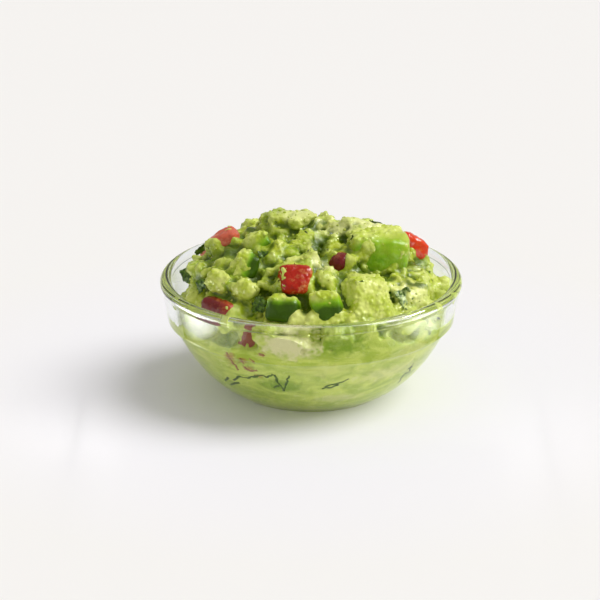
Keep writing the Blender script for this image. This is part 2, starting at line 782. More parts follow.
# Each groove is a line of points, its half width and its depth, all in millimetres.
GROOVES = [
    ([(-18.2, 3.3, 48.8), (-14.0, -9.4, 50.0), (-12.3, -14.0, 49.4), (-14.4, -16.0, 48.0)], 2.2, 2.6),
    ([(-14.6, -18.6, 46.4), (-15.4, -22.0, 44.5), (-16.4, -23.5, 41.7), (-19.2, -26.5, 41.0)], 2.2, 2.6),
    ([(-13.7, -28.5, 38.0), (-15.7, -30.2, 37.8), (-17.7, -29.3, 35.1)], 3.2, 5.0),
    ([(2.6, -7.2, 48.5), (2.3, -13.0, 48.0), (4.5, -19.0, 46.4), (7.7, -19.0, 45.6)], 2.4, 4.4),
    ([(0.0, 1.0, 51.5), (1.0, -3.0, 50.5)], 1.5, 0.8),
    ([(26.5, -14.0, 41.6), (28.5, -18.8, 39.6), (31.7, -19.7, 38.7), (34.1, -18.4, 37.3)], 1.7, 2.2),
    ([(13.0, -19.0, 43.5), (18.0, -21.5, 41.6), (23.0, -18.5, 40.8)], 2.2, 2.6),
    ([(8.8, -34.5, 38.5), (9.1, -28.0, 41.6), (9.0, -23.0, 43.0)], 1.7, 2.6),
    ([(-8.5, -36.0, 34.0), (-12.0, -34.6, 34.0)], 1.5, 2.0),
    ([(-29.0, -6.5, 43.0), (-23.0, -6.5, 45.0)], 5.0, 4.0),
    ([(27.0, -4.5, 43.0), (34.0, -1.0, 40.5)], 5.0, 5.0),
    ([(-6.0, -31.0, 39.5), (-2.0, -32.0, 39.0)], 2.6, 2.0),
    ([(-31.0, -18.0, 37.6), (-34.0, -12.0, 38.0)], 1.8, 2.0),
    ([(-30.0, 12.0, 41.0), (-22.0, 12.0, 46.0), (-14.0, 12.0, 49.0)], 2.0, 2.2),
    ([(4.0, 12.0, 49.0), (8.0, 20.0, 46.0), (7.0, 28.0, 41.0)], 2.2, 2.6),
    ([(22.0, 4.0, 47.0), (20.0, 12.0, 46.5), (25.0, 17.0, 42.0)], 2.0, 2.2),
    ([(-20.0, 26.0, 38.0), (-8.0, 26.0, 42.0), (-6.0, 32.0, 38.0)], 2.0, 2.2),
]

# Dabs of mash between the heap and the glass, as (middle, half sizes) in millimetres.
DABS = [
    ((-6.0, -36.8, 28.2), (5.6, 3.4, 4.4)),
    ((-12.0, -35.2, 26.0), (3.2, 3.0, 2.6)),
    ((0.5, -37.4, 26.6), (3.6, 3.2, 2.8)),
    ((13.5, -35.4, 27.0), (3.6, 3.0, 3.4)),
    ((8.6, -37.0, 25.6), (3.6, 3.0, 2.8)),
    ((20.5, -33.0, 26.0), (3.4, 3.0, 2.8)),
    ((30.0, -25.0, 25.0), (3.4, 3.0, 3.0)),
    ((-27.5, -26.5, 23.5), (3.0, 3.0, 2.4)),
    ((-31.0, -17.5, 26.5), (3.6, 3.6, 3.4)),
    ((-24.0, -26.0, 27.0), (4.0, 3.2, 3.2)),
    ((25.5, -25.0, 27.5), (3.8, 3.2, 3.0)),
    ((32.0, -15.0, 26.5), (3.6, 3.6, 3.4)),
    ((30.2, -20.3, 36.8), (4.4, 4.0, 3.4)),
    ((-5.5, 1.0, 53.0), (6.5, 5.0, 2.0)),
    ((3.7, -20.4, 45.6), (2.8, 2.6, 2.6)),
    ((14.5, -23.0, 43.0), (4.8, 3.2, 2.4)),
    ((12.6, -18.6, 45.0), (3.4, 3.2, 3.4)),
    ((14.0, -0.5, 49.4), (10.0, 5.0, 3.4)),
]


def pieces_tree(nodes):
    """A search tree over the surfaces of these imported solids."""
    corners = []
    faces = []
    for name in nodes:
        mesh = frame["nodes"][name].data
        start = len(corners)
        corners += [tuple(vertex.co) for vertex in mesh.vertices]
        faces += [[start + i for i in face.vertices] for face in mesh.polygons]
    return BVHTree.FromPolygons(corners, faces)


def distance_to(search, co, most):
    """Distance of each point from the surface, or most where it is farther."""
    found = [search.find_nearest(point, most)[3] for point in co]
    return np.array([most if value is None else value for value in found])


def line_distance(co, line):
    """Distance of each point from a line through several places."""
    nearest = np.full(len(co), 1.0)
    for start, end in zip(line[:-1], line[1:]):
        along = end - start
        share = np.clip((co - start) @ along / (along @ along), 0.0, 1.0)
        away = co - (start + share[:, None] * along)
        nearest = np.minimum(nearest, np.linalg.norm(away, axis=1))
    return nearest


def groove_depths(co):
    """How deep each point is to be pressed in, and the share of its groove's full depth."""
    depth = np.zeros(len(co))
    share = np.zeros(len(co))
    for line, half_width, most in GROOVES:
        distance = line_distance(co, MM * np.array(line))
        here = 1.0 - smooth_step(distance, 0.3 * half_width * MM, 1.5 * half_width * MM)
        depth = np.maximum(depth, here * most * MM)
        share = np.maximum(share, here)
    return depth, share


def mark_bare(mesh, near, far, patchy=False, dice_room=0.0):
    """Marks where lumps go: off the glass and the grooves, and that far off chunks and dice."""
    co = points_of(mesh)
    glass, _ = wall_distance(co)
    bare = smooth_step(glass, AT_GLASS, CLEAR_OF_GLASS)
    bare *= 1.0 - smooth_step(groove_depths(co)[1], 0.2, 0.7)
    free = np.nonzero(bare > 0)[0]
    away = distance_to(piece_search, co[free], far)
    away = np.minimum(away, distance_to(dice_search, co[free], far + dice_room) - dice_room)
    bare[free] *= smooth_step(away, near, far)
    if patchy:
        clouds = np.array([noise.noise(Vector(point) / (5.5 * MM)) for point in co[free]])
        bare[free] *= 0.15 + 0.85 * smooth_step(clouds, -0.25, 0.2)
    mark(mesh, "bare", bare)
    return bare


def keep_under(co, top):
    """Presses the highest points down smoothly, so that none passes the top."""
    start = top - LIFT_SHARE
    over = np.maximum(co[:, 2] - start, 0.0)
    co[:, 2] = np.minimum(co[:, 2], start) + LIFT_SHARE * (1.0 - np.exp(-over / LIFT_SHARE))
    return co


def dab(middle, sizes, seed):
    """A lump of mash of its own, in millimetres."""
    mesh = rough_ball("dab", seed, 4, planes=0)
    move_points(mesh, points_of(mesh) * np.array(sizes) + MM * np.array(middle))
    return add_object("dab", mesh)


def build_heap():
    parts = [node_copy("guacamole", "heap")]
    parts += [dab(middle, sizes, 300 + i) for i, (middle, sizes) in enumerate(DABS)]
    for name in CHUNK_NODES + DICE_NODES:
        filler = node_copy(name, "filler")
        swell(filler.data, -SHRINK_PIECES)
        parts.append(filler)
    heap = remeshed(joined("mash_heap", parts), HEAP_VOXEL)
    swell(heap.data, CLOSE_GAPS)
    remeshed(heap, HEAP_VOXEL)
    swell(heap.data, -CLOSE_GAPS)
    return remeshed(heap, HEAP_VOXEL)


def thin_heap(mesh):
    """Makes room for the lumps and presses the grooves in."""
    bare = mark_bare(mesh, 0.6 * MM, 1.6 * MM)
    co = points_of(mesh) - (ROOM_FOR_LUMPS * bare)[:, None] * normals_of(mesh)
    depth, _ = groove_depths(co)
    glass, _ = wall_distance(co)
    inward = HEAP_CORE - co
    inward /= np.linalg.norm(inward, axis=1)[:, None]
    depth *= smooth_step(glass, AT_GLASS, CLEAR_OF_GLASS)
    move_points(mesh, co + depth[:, None] * inward)


def with_scattered(obj, store, values):
    """The object with small shapes scattered on it and fused by remeshing."""
    layer = add_object("layer", obj.data.copy())
    run_tree(layer, SCATTER, {"Shapes": store, "Density": 1.0e7, **values})
    name = obj.name
    fused = remeshed(joined(name + "_fused", [obj, layer]), HEAP_VOXEL)
    fused.name = name
    return fused


piece_search = pieces_tree(CHUNK_NODES + DICE_NODES)
dice_search = pieces_tree(DICE_NODES + ["coriander_leaf_front"])
heap = build_heap()
thin_heap(heap.data)
print("heap before lumps, triangles:", triangles(heap))

# %% Lumps and curds on the mash
remeshed(heap, HEAP_VOXEL)
mark_bare(heap.data, 0.9 * MM, 1.9 * MM, dice_room=1.3 * MM)
heap = with_scattered(heap, lumps, {"Spacing": 3.2 * MM, "Smallest": 1.5, "Largest": 3.2,
                                    "Sink": 0.34, "Seed": 4})
mark_bare(heap.data, 0.2 * MM, 0.6 * MM, dice_room=0.7 * MM)
run_tree(heap, RELIEF, {"Cell size": 2.6 * MM, "Height": 0.9 * MM, "Shift": 3.0})
heap = with_scattered(heap, curds, {"Spacing": 2.2 * MM, "Smallest": 0.7, "Largest": 1.5,
                                    "Sink": 0.5, "Seed": 12})
mark_bare(heap.data, 0.1 * MM, 0.4 * MM, patchy=True)
heap = with_scattered(heap, curds, {"Spacing": 1.25 * MM, "Smallest": 0.45, "Largest": 0.85,
                                    "Sink": 0.3, "Seed": 13})
thin = heap.modifiers.new("Fewer faces", "DECIMATE")
thin.ratio = min(1.0, HEAP_TRIANGLES / triangles(heap))
make_plain(heap)
move_points(heap.data, press_on_glass(points_of(heap.data), AT_GLASS, CLEAR_OF_GLASS))
move_points(heap.data, keep_under(points_of(heap.data), cad_box[1].z - TOP_MARGIN))
print("heap, triangles:", triangles(heap), "top in mm:", round(1000 * points_of(heap.data)[:, 2].max(), 2))

# %% [markdown]
# ## Colour of the mash
# Fresh mash is pale yellow-green where it is smooth, greener where bits of the outer flesh are
# mixed in, and darker in the wet hollows between lumps. The hollows are worked out from the mesh:
# a point that lies under the smoothed surface is in one. Large soft spots, such as a pale lump or
# juice from a tomato, are kept as a colour for each point, with its strength in a second number.

# %% Hollows and spots of the mash
SMOOTHING_ROUNDS = 40
HOLLOW_DEPTH = 0.7 * MM

# A spot is (middle, half sizes, colour, strength), the first two in millimetres.
PALE = (0.72, 0.76, 0.22)
LIGHT = (0.82, 0.85, 0.34)
LEAFY = (0.17, 0.33, 0.012)
OLIVE = (0.26, 0.34, 0.010)
DEEP = (0.05, 0.10, 0.003)
YELLOW = (0.58, 0.56, 0.09)
CREAM = (0.85, 0.82, 0.42)
JUICE = (0.42, 0.13, 0.05)
SPOTS = [
    ((9.0, -1.0, 51.0), (8.0, 5.5, 4.0), LIGHT, 0.9),
    ((18.5, -1.0, 51.0), (11.0, 7.5, 5.0), LIGHT, 1.0),
    ((-3.5, 1.0, 53.5), (7.0, 6.0, 3.5), LIGHT, 0.75),
    ((-3.3, -36.5, 35.0), (5.0, 4.0, 3.0), PALE, 0.8),
    ((-5.0, -20.0, 48.5), (4.0, 4.0, 3.0), PALE, 0.6),
    ((3.7, -21.0, 46.5), (4.4, 4.4, 3.8), LIGHT, 1.0),
    ((14.0, -24.0, 44.0), (5.0, 4.0, 2.5), PALE, 0.5),
    ((28.6, -22.5, 37.5), (7.5, 7.0, 5.0), (0.80, 0.83, 0.28), 0.85),
    ((34.0, -8.0, 40.5), (5.0, 6.0, 4.0), PALE, 0.5),
    ((-13.7, -27.0, 41.5), (4.0, 4.0, 4.0), OLIVE, 0.6),
    ((-27.0, -14.0, 43.0), (9.0, 9.0, 5.0), OLIVE, 0.45),
    ((-13.0, -3.0, 50.5), (4.0, 7.0, 4.0), OLIVE, 0.3),
    ((3.5, 1.5, 52.0), (6.0, 5.0, 4.0), PALE, 1.0),
    ((-14.3, -31.8, 33.8), (4.0, 3.0, 2.0), YELLOW, 0.5),
    ((-15.2, -30.0, 37.5), (3.6, 3.4, 3.2), DEEP, 0.9),
    ((2.6, -10.0, 47.5), (3.6, 5.0, 3.6), DEEP, 0.85),
    ((-6.0, -38.0, 28.0), (9.5, 7.0, 4.6), CREAM, 1.0),
    ((8.5, -37.0, 28.5), (8.0, 6.0, 4.0), LEAFY, 0.7),
    ((-8.0, -32.0, 13.4), (7.0, 6.0, 2.6), LEAFY, 0.75),
    ((-17.0, -28.0, 9.5), (8.0, 8.0, 1.8), LEAFY, 0.45),
    ((-30.0, -24.0, 18.0), (5.0, 8.0, 4.0), PALE, 0.3),
    ((20.0, -24.0, 16.0), (14.0, 14.0, 2.4), CREAM, 0.4),
    ((8.0, -30.0, 8.5), (9.0, 10.0, 1.8), CREAM, 0.45),
    ((26.0, -26.0, 22.0), (7.0, 10.0, 3.0), PALE, 0.5),
    ((3.0, -36.0, 20.0), (9.0, 8.0, 2.4), PALE, 0.45),
    ((27.0, -18.0, 12.0), (5.0, 8.0, 1.2), LEAFY, 0.5),
    ((-22.6, -30.0, 21.0), (1.6, 5.0, 2.6), JUICE, 0.7),
    ((-17.5, -32.0, 18.6), (3.2, 5.0, 0.9), JUICE, 0.75),
    ((-18.9, -32.0, 21.4), (1.4, 5.0, 1.1), JUICE, 0.7),
    ((-14.2, -34.0, 24.4), (1.8, 5.0, 1.0), JUICE, 0.6),
    ((-14.6, -32.5, 16.4), (1.3, 5.0, 0.7), JUICE, 0.7),
]


def smoothed(mesh, rounds):
    """Each point's place after averaging with its neighbours several times."""
    edges = np.empty(len(mesh.edges) * 2, np.int32)
    mesh.edges.foreach_get("vertices", edges)
    a, b = edges.reshape(-1, 2).T
    co = points_of(mesh)
    total = len(co)
    neighbours = np.maximum(np.bincount(a, minlength=total) + np.bincount(b, minlength=total), 1)
    for _ in range(rounds):
        summed = np.empty_like(co)
        for axis in range(3):
            summed[:, axis] = np.bincount(a, co[b, axis], total) + np.bincount(b, co[a, axis], total)
        co = summed / neighbours[:, None]
    return co


def mark_hollows(mesh):
    """Keeps 0 on tops, 0.5 on flat parts and 1 in hollows and grooves."""
    under = ((smoothed(mesh, SMOOTHING_ROUNDS) - points_of(mesh)) * normals_of(mesh)).sum(1)
    hollow = np.clip(0.5 + 0.5 * under / HOLLOW_DEPTH, 0.0, 1.0)
    hollow = np.maximum(hollow, groove_depths(points_of(mesh))[1])
    glass, _ = wall_distance(points_of(mesh))
    hollow *= 0.35 + 0.65 * smooth_step(glass, 3.0 * MM, 8.0 * MM)
    mark(mesh, "hollow", hollow)
    return hollow


def mark_spots(mesh):
    """Keeps the colour of the soft spots, and how strongly it shows."""
    co = points_of(mesh)
    ripple = np.array([noise.noise_vector(Vector(point) / (2.5 * MM)) for point in co])
    ripple += np.array([noise.noise_vector(Vector(point) / (0.9 * MM)) for point in co])
    colour = np.zeros((len(co), 4))
    shown = np.zeros(len(co))
    for middle, sizes, tone, strength in SPOTS:
        away = (co / MM - middle) / sizes + 0.35 * ripple
        here = strength * (1.0 - smooth_step(np.linalg.norm(away, axis=1), 0.55, 1.15))
        more = here > shown
        colour[more] = (*tone, 1.0)
        shown[more] = here[more]
    mark(mesh, "spot", shown)
    kept = mesh.attributes.new("spot_colour", "FLOAT_COLOR", "POINT")
    kept.data.foreach_set("color", colour.astype(np.float32).ravel())


def mark_at_glass(mesh):
    distance, _ = wall_distance(points_of(mesh))
    mark(mesh, "at_glass", 1.0 - smooth_step(distance, 0.1 * MM, 0.9 * MM))


def wall_streaks(tree, place, size, flatness):
    """Cloudy noise drawn out along the wall, as mash is when it is spread there."""
    flat = add_node(tree, "ShaderNodeMapping", {"Vector": place, "Scale": (1.0, 1.0, flatness)})
    clouds = add_node(tree, "ShaderNodeTexNoise", {"Vector": flat.outputs[0], "Scale": 1.0 / size,
                                                   "Detail": 4.0, "Distortion": 1.2})
    return clouds.outputs["Fac"]


def mash_material():
    made, tree, shader = new_material("moist mashed avocado")
    place = object_coordinates(tree)
    broad = spread(tree, noise_texture(tree, place, 7 * MM, 3.0), 0.38, 0.62)
    fine = spread(tree, noise_texture(tree, place, 1.5 * MM, 4.0, 0.65), 0.47, 0.64)
    flesh = mix_colours(tree, broad, (0.30, 0.43, 0.010), (0.49, 0.58, 0.026))
    flesh = mix_colours(tree, math_node(tree, "MULTIPLY", fine, 0.5), flesh, (0.72, 0.80, 0.20))
    tone = add_node(tree, "ShaderNodeAttribute", attribute_name="spot_colour").outputs["Color"]
    flesh = mix_colours(tree, kept_number(tree, "spot"), flesh, tone)
    top = spread(tree, kept_number(tree, "hollow"), 0.45, 0.05)
    flesh = mix_colours(tree, math_node(tree, "MULTIPLY", top, 0.5), flesh, (0.74, 0.80, 0.22))
    hollow = spread(tree, kept_number(tree, "hollow"), 0.45, 0.9)
    flesh = mix_colours(tree, math_node(tree, "MULTIPLY", hollow, 0.9), flesh, (0.06, 0.12, 0.0015))
    streaks = spread(tree, wall_streaks(tree, place, 8 * MM, 2.2), 0.36, 0.64)
    at_wall = mix_colours(tree, streaks, (0.45, 0.59, 0.075), (0.68, 0.78, 0.16))
    threads = spread(tree, wall_streaks(tree, place, 3.5 * MM, 2.5), 0.60, 0.72)
    at_wall = mix_colours(tree, math_node(tree, "MULTIPLY", threads, 0.5), at_wall, (0.84, 0.86, 0.36))
    at_wall = mix_colours(tree, kept_number(tree, "spot"), at_wall, tone)
    flesh = mix_colours(tree, kept_number(tree, "at_glass"), flesh, at_wall)
    tree.links.new(flesh, shader.inputs["Base Color"])
    wet = spread(tree, noise_texture(tree, place, 2.5 * MM), 0.35, 0.65)
    rough = add_node(tree, "ShaderNodeMapRange", {"Value": wet, "To Min": 0.08, "To Max": 0.32})
    tree.links.new(rough.outputs[0], shader.inputs["Roughness"])
    shader.inputs["Specular IOR Level"].default_value = 0.27
    bump(tree, shader, noise_texture(tree, place, 0.9 * MM, 4.0, 0.6), 0.35 * MM, strength=0.8)
    return made


hollow = mark_hollows(heap.data)
mark_spots(heap.data)
mark_at_glass(heap.data)
MASH = mash_material()
heap.data.materials.clear()
heap.data.materials.append(MASH)
heap.data.shade_smooth()
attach(heap, BODY)
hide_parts("guacamole")
print("share of the mash in hollows:", round(float((hollow > 0.6).mean()), 2))

# %% [markdown]
# ## Loose curds
# The smallest curds lie on top of the mash and catch the light. They are too fine for the heap's
# own mesh, so they are a piece of their own, scattered in patches on the finished heap.

# %% Loose curds


def curd_material():
    made, tree, shader = new_material("pale curds", Roughness=0.18)
    place = object_coordinates(tree)
    shade = spread(tree, noise_texture(tree, place, 4 * MM, 3.0), 0.35, 0.65)
    flesh = mix_colours(tree, shade, (0.36, 0.46, 0.025), (0.64, 0.69, 0.15))
    tree.links.new(flesh, shader.inputs["Base Color"])
    shader.inputs["Specular IOR Level"].default_value = 0.35
    bump(tree, shader, noise_texture(tree, place, 0.35 * MM), 0.06 * MM, strength=0.5)
    return made


def keep_inside(obj, margin):
    """Moves points that scattering took past the glass or over the top back inside."""
    co = points_of(obj.data)
    distance, facing = wall_distance(co)
    past = np.maximum(margin - distance, 0.0)
    radius = np.maximum(np.hypot(co[:, 0], co[:, 1]), MERGE)
    co[:, 0] += past * facing[:, 0] * co[:, 0] / radius
    co[:, 1] += past * facing[:, 0] * co[:, 1] / radius
    co[:, 2] += past * facing[:, 1]
    co[:, 2] = np.minimum(co[:, 2], cad_box[1].z - 0.5 * TOP_MARGIN)
    move_points(obj.data, co)


mark_bare(heap.data, 0.1 * MM, 0.4 * MM, patchy=True)
loose = add_object("mash_loose_curds", heap.data.copy())
run_tree(loose, SCATTER, {"Shapes": curds, "Finish": curd_material(), "Spacing": 2.1 * MM,
                          "Density": 1.0e7, "Smallest": 0.28, "Largest": 0.65, "Sink": 0.4,
                          "Seed": 23})
keep_inside(loose, 0.2 * MM)
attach(loose, BODY)
print("loose curds, triangles:", triangles(loose))

# %% [markdown]
# ## Avocado chunks
# A chunk is a knife-cut piece of avocado that was folded in. Its outer side, once under the skin,
# is dark green, and it turns to yellow-green towards the stone. So each chunk keeps a number that
# runs from its inner side to its skin side. Folding wears its edges round, and mash clings to it
# in crumbs, mostly on top; a second number keeps where.

# %% Avocado chunks
CHUNK_VOXEL = 0.32 * MM
CHUNK_FULLER = 0.15 * MM

# For each chunk: where its skin side faces, how far the green goes in, where the crumbs cling,
# the share of the chunk that they leave free, and the rounds of averaging that wear its edges.
CHUNK_LOOKS = {
    "avocado_chunk_right": ((0.0, -1.0, -0.1), 0.36, (-0.35, 0.35, 1.0), 0.64, 14),
    "avocado_chunk_front": ((-0.6, -0.5, -0.9), 0.30, (0.3, -0.3, 1.0), 0.0, 60),
    "avocado_chunk_green": ((0.2, -0.9, -1.0), 1.15, (-0.2, 0.0, 1.0), 0.72, 24),
    "avocado_chunk_dark": ((0.0, -1.0, -0.5), 1.25, (0.0, 0.2, 1.0), 0.78, 24),
    "avocado_chunk_left": ((0.3, 0.2, -1.0), 0.10, (-0.4, -0.2, 1.0), 0.35, 24),
    "avocado_chunk_left_low": ((0.3, 0.2, -1.0), 0.18, (-0.2, -0.2, 1.0), 0.35, 24),
    "avocado_bit_upper": ((1.0, -0.2, -0.6), 0.8, (-0.5, 0.2, 1.0), 0.6, 26),
    "avocado_bit_middle": ((1.0, -0.3, -0.2), 1.0, (-1.0, 0.0, 0.5), 0.55, 26),
    "avocado_chunk_back_left": ((-0.4, 0.9, 0.1), 0.6, (0.2, -0.3, 1.0), 0.65, 30),
    "avocado_chunk_back_right": ((0.3, 0.7, 0.3), 0.5, (0.0, -0.3, 1.0), 0.6, 30),
}


def chunk_material():
    made, tree, shader = new_material("cut avocado", Roughness=0.3)
    place = object_coordinates(tree)
    skinward = kept_number(tree, "skinward")
    blur = noise_texture(tree, place, 2.5 * MM, 3.0)
    depth = math_node(tree, "ADD", skinward, math_node(tree, "MULTIPLY", blur, 0.34))
    depth = math_node(tree, "SUBTRACT", depth, 0.17)
    flesh = mix_colours(tree, spread(tree, depth, 0.1, 0.45), (0.62, 0.67, 0.14), (0.40, 0.53, 0.030))
    flesh = mix_colours(tree, spread(tree, depth, 0.4, 0.65), flesh, (0.21, 0.46, 0.005))
    flesh = mix_colours(tree, spread(tree, depth, 0.6, 0.85), flesh, (0.045, 0.105, 0.002))
    crumbs = math_node(tree, "MULTIPLY", kept_number(tree, "crumbs"), 0.8)
    shade = spread(tree, noise_texture(tree, place, 3 * MM, 3.0), 0.4, 0.62)
    crumb = mix_colours(tree, shade, (0.47, 0.58, 0.040), (0.76, 0.82, 0.22))
    flesh = mix_colours(tree, crumbs, flesh, crumb)
    fine = spread(tree, noise_texture(tree, place, 1.0 * MM, 3.0), 0.5, 0.75)
    fine = math_node(tree, "MULTIPLY", fine, spread(tree, depth, 0.75, 0.5))
    flesh = mix_colours(tree, math_node(tree, "MULTIPLY", fine, 0.25), flesh, (0.62, 0.70, 0.22))
    tree.links.new(flesh, shader.inputs["Base Color"])
    shader.inputs["Specular IOR Level"].default_value = 0.18
    bump(tree, shader, noise_texture(tree, place, 0.7 * MM, 4.0, 0.6), 0.2 * MM, strength=0.6)
    return made


def share_along(mesh, direction):
    """Each point's share of the way through the mesh in that direction."""
    along = points_of(mesh) @ np.array(Vector(direction).normalized())
    return (along - along.min()) / (along.max() - along.min())


def rounded(node, name, voxel, rounds, fuller):
    """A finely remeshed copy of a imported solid, its edges worn round by averaging."""
    obj = remeshed(node_copy(node, name), voxel)
    move_points(obj.data, smoothed(obj.data, rounds))
    swell(obj.data, fuller)
    return obj


def add_relief(obj, reliefs):
    mark(obj.data, "bare", np.ones(len(obj.data.vertices)))
    for size, height, shift in reliefs:
        run_tree(obj, RELIEF, {"Cell size": size * MM, "Height": height * MM, "Shift": shift})


def with_crumbs(obj, direction, free, voxel, seed):
    """The chunk with curds fused on, past the free share in that direction."""
    for spacing, sizes in ((1.9, (0.6, 1.15)), (1.15, (0.4, 0.7))):
        mark(obj.data, "bare", smooth_step(share_along(obj.data, direction), free, free + 0.15))
        layer = add_object("layer", obj.data.copy())
        run_tree(layer, SCATTER, {"Shapes": curds, "Density": 1.0e7, "Spacing": spacing * MM,
                                  "Smallest": sizes[0], "Largest": sizes[1], "Sink": 0.4,
                                  "Seed": seed})
        name = obj.name
        obj = remeshed(joined(name + "_fused", [obj, layer]), voxel)
        obj.name = name
    mark(obj.data, "crumbs", smooth_step(share_along(obj.data, direction), free - 0.05, free + 0.15))
    return obj


CUT_AVOCADO = chunk_material()
for i, node in enumerate(CHUNK_NODES):
    skin_side, green, crumb_side, free, rounds = CHUNK_LOOKS[node]
    chunk = rounded(node, node + "_flesh", CHUNK_VOXEL, rounds, CHUNK_FULLER)
    add_relief(chunk, [(4.2, 1.2, i), (1.7, 0.35, 5.0 + i)])
    chunk = with_crumbs(chunk, crumb_side, free, CHUNK_VOXEL, 40 + i)
    mark(chunk.data, "skinward", share_along(chunk.data, skin_side) * (0.35 + 0.75 * green))
    chunk.data.materials.clear()
    chunk.data.materials.append(CUT_AVOCADO)
    chunk.data.shade_smooth()
    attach(chunk, BODY)
    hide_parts(node)
    print(chunk.name, triangles(chunk))

# %% [markdown]
# ## Tomato dice
# A dice of tomato has a smooth, glossy skin on one side, and wet flesh, paler and pinker, on the
# cut sides, with a pale core streak here and there. As with the avocado, a number that runs to
# the skin side steers the colour.

# %% Tomato dice
DICE_VOXEL = 0.3 * MM
DICE_ROUNDS = 75
DICE_FULLER = 0.45 * MM
TOMATO_SKINS = {
    "tomato_centre": (-0.35, -0.6, 0.7),
    "tomato_left_top": (0.3, -0.3, 1.0),
    "tomato_right": (0.3, -0.8, 0.6),
    "tomato_left_front": (-1.0, -0.3, 0.1),
    "tomato_gap": (0.0, -1.0, 0.2),
    "tomato_at_glass": (-0.3, -1.0, 0.2),
    "tomato_back_left": (-0.5, 0.8, 0.3),
    "tomato_back": (0.0, 0.7, 0.8),
    "tomato_back_right": (0.6, 0.6, 0.4),
}


def tomato_material(name, skin, flesh, pale):
    made, tree, shader = new_material(name, Roughness=0.16)
    place = object_coordinates(tree)
    blur = noise_texture(tree, place, 2.5 * MM, 3.0)
    depth = math_node(tree, "ADD", kept_number(tree, "skinward"), math_node(tree, "MULTIPLY", blur, 0.4))
    depth = math_node(tree, "SUBTRACT", depth, 0.2)
    colour = mix_colours(tree, spread(tree, depth, 0.35, 0.65), flesh, skin)
    veins = spread(tree, noise_texture(tree, place, 1.6 * MM, 4.0, 0.65), 0.52, 0.66)
    veins = math_node(tree, "MULTIPLY", veins, spread(tree, depth, 0.95, 0.45))
    colour = mix_colours(tree, math_node(tree, "MULTIPLY", veins, 0.75), colour, pale)
    tree.links.new(colour, shader.inputs["Base Color"])
    shader.inputs["Specular IOR Level"].default_value = 0.3
    bump(tree, shader, noise_texture(tree, place, 0.8 * MM, 3.0), 0.25 * MM, strength=0.6)
    return made


BRIGHT_TOMATO = tomato_material("bright tomato", (0.42, 0.014, 0.003), (0.62, 0.10, 0.015), (0.78, 0.42, 0.14))
ORANGE_TOMATO = tomato_material("orange tomato", (0.70, 0.045, 0.004), (0.74, 0.11, 0.010), (0.80, 0.34, 0.08))
PINK_TOMATO = tomato_material("pink tomato", (0.64, 0.12, 0.06), (0.78, 0.27, 0.13), (0.86, 0.62, 0.34))
DARK_TOMATO = tomato_material("dark tomato", (0.17, 0.012, 0.010), (0.46, 0.050, 0.012), (0.55, 0.20, 0.07))
DULL_TOMATO = tomato_material("tomato behind glass", (0.34, 0.10, 0.055), (0.42, 0.20, 0.10), (0.60, 0.45, 0.22))
TOMATO_KINDS = {
    "tomato_left_top": PINK_TOMATO,
    "tomato_at_glass": DULL_TOMATO,
    "tomato_back_left": PINK_TOMATO,
    "tomato_left_front": DARK_TOMATO,
    "tomato_gap": DARK_TOMATO,
    "tomato_right": ORANGE_TOMATO,
}
for i, node in enumerate(DICE_NODES):
    dice = rounded(node, node + "_flesh", DICE_VOXEL, DICE_ROUNDS, DICE_FULLER)
    add_relief(dice, [(4.5, 0.9, 20.0 + i), (1.5, 0.45, 30.0 + i)])
    mark(dice.data, "skinward", share_along(dice.data, TOMATO_SKINS[node]))
    kind = TOMATO_KINDS.get(node, BRIGHT_TOMATO)
    dice.data.materials.clear()
    dice.data.materials.append(kind)
    dice.data.shade_smooth()
    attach(dice, BODY)
    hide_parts(node)
    print(dice.name, triangles(dice))

# %% [markdown]
# ## Coriander leaves
# A coriander leaf has three lobes with notched, frilly edges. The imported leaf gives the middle,
# the plane and the size, which its points tell: their flattest direction is the leaf's normal.
# The fine leaf is a fan of rings in that plane, with ripples that grow towards the edge, and
# Solidify gives it its thickness.

# %% Coriander leaves
LEAF_RINGS = 8
LEAF_SPOKES = 90
LEAF_THICKNESS = 0.25 * MM
HIDDEN_LEAVES = ("coriander_leaf_back", "coriander_leaf_back_left", "coriander_leaf_back_right")


def leaf_plane(node):
    """Middle, two directions in the plane, the normal and the radius of a packed leaf."""
    co = points_of(frame["nodes"][node].data)
    middle = 0.5 * (co.min(0) + co.max(0))
    _, _, axes = np.linalg.svd(co - co.mean(0), full_matrices=False)
    radius = float(np.linalg.norm(co - middle, axis=1).max())
    across = Vector(np.cross(axes[0], axes[1]))
    return Vector(middle), Vector(axes[0]), Vector(axes[1]), across, radius


def lobed_outline(angle, phase):
    """The leaf's edge as a share of its radius: three lobes, frayed unevenly."""
    lobes = 0.58 + 0.26 * abs(math.cos(1.5 * angle)) ** 0.7
    round_trip = Vector((math.cos(angle), math.sin(angle), phase))
    return lobes + 0.16 * noise.noise(2.2 * round_trip) + 0.14 * noise.noise(6.5 * round_trip)


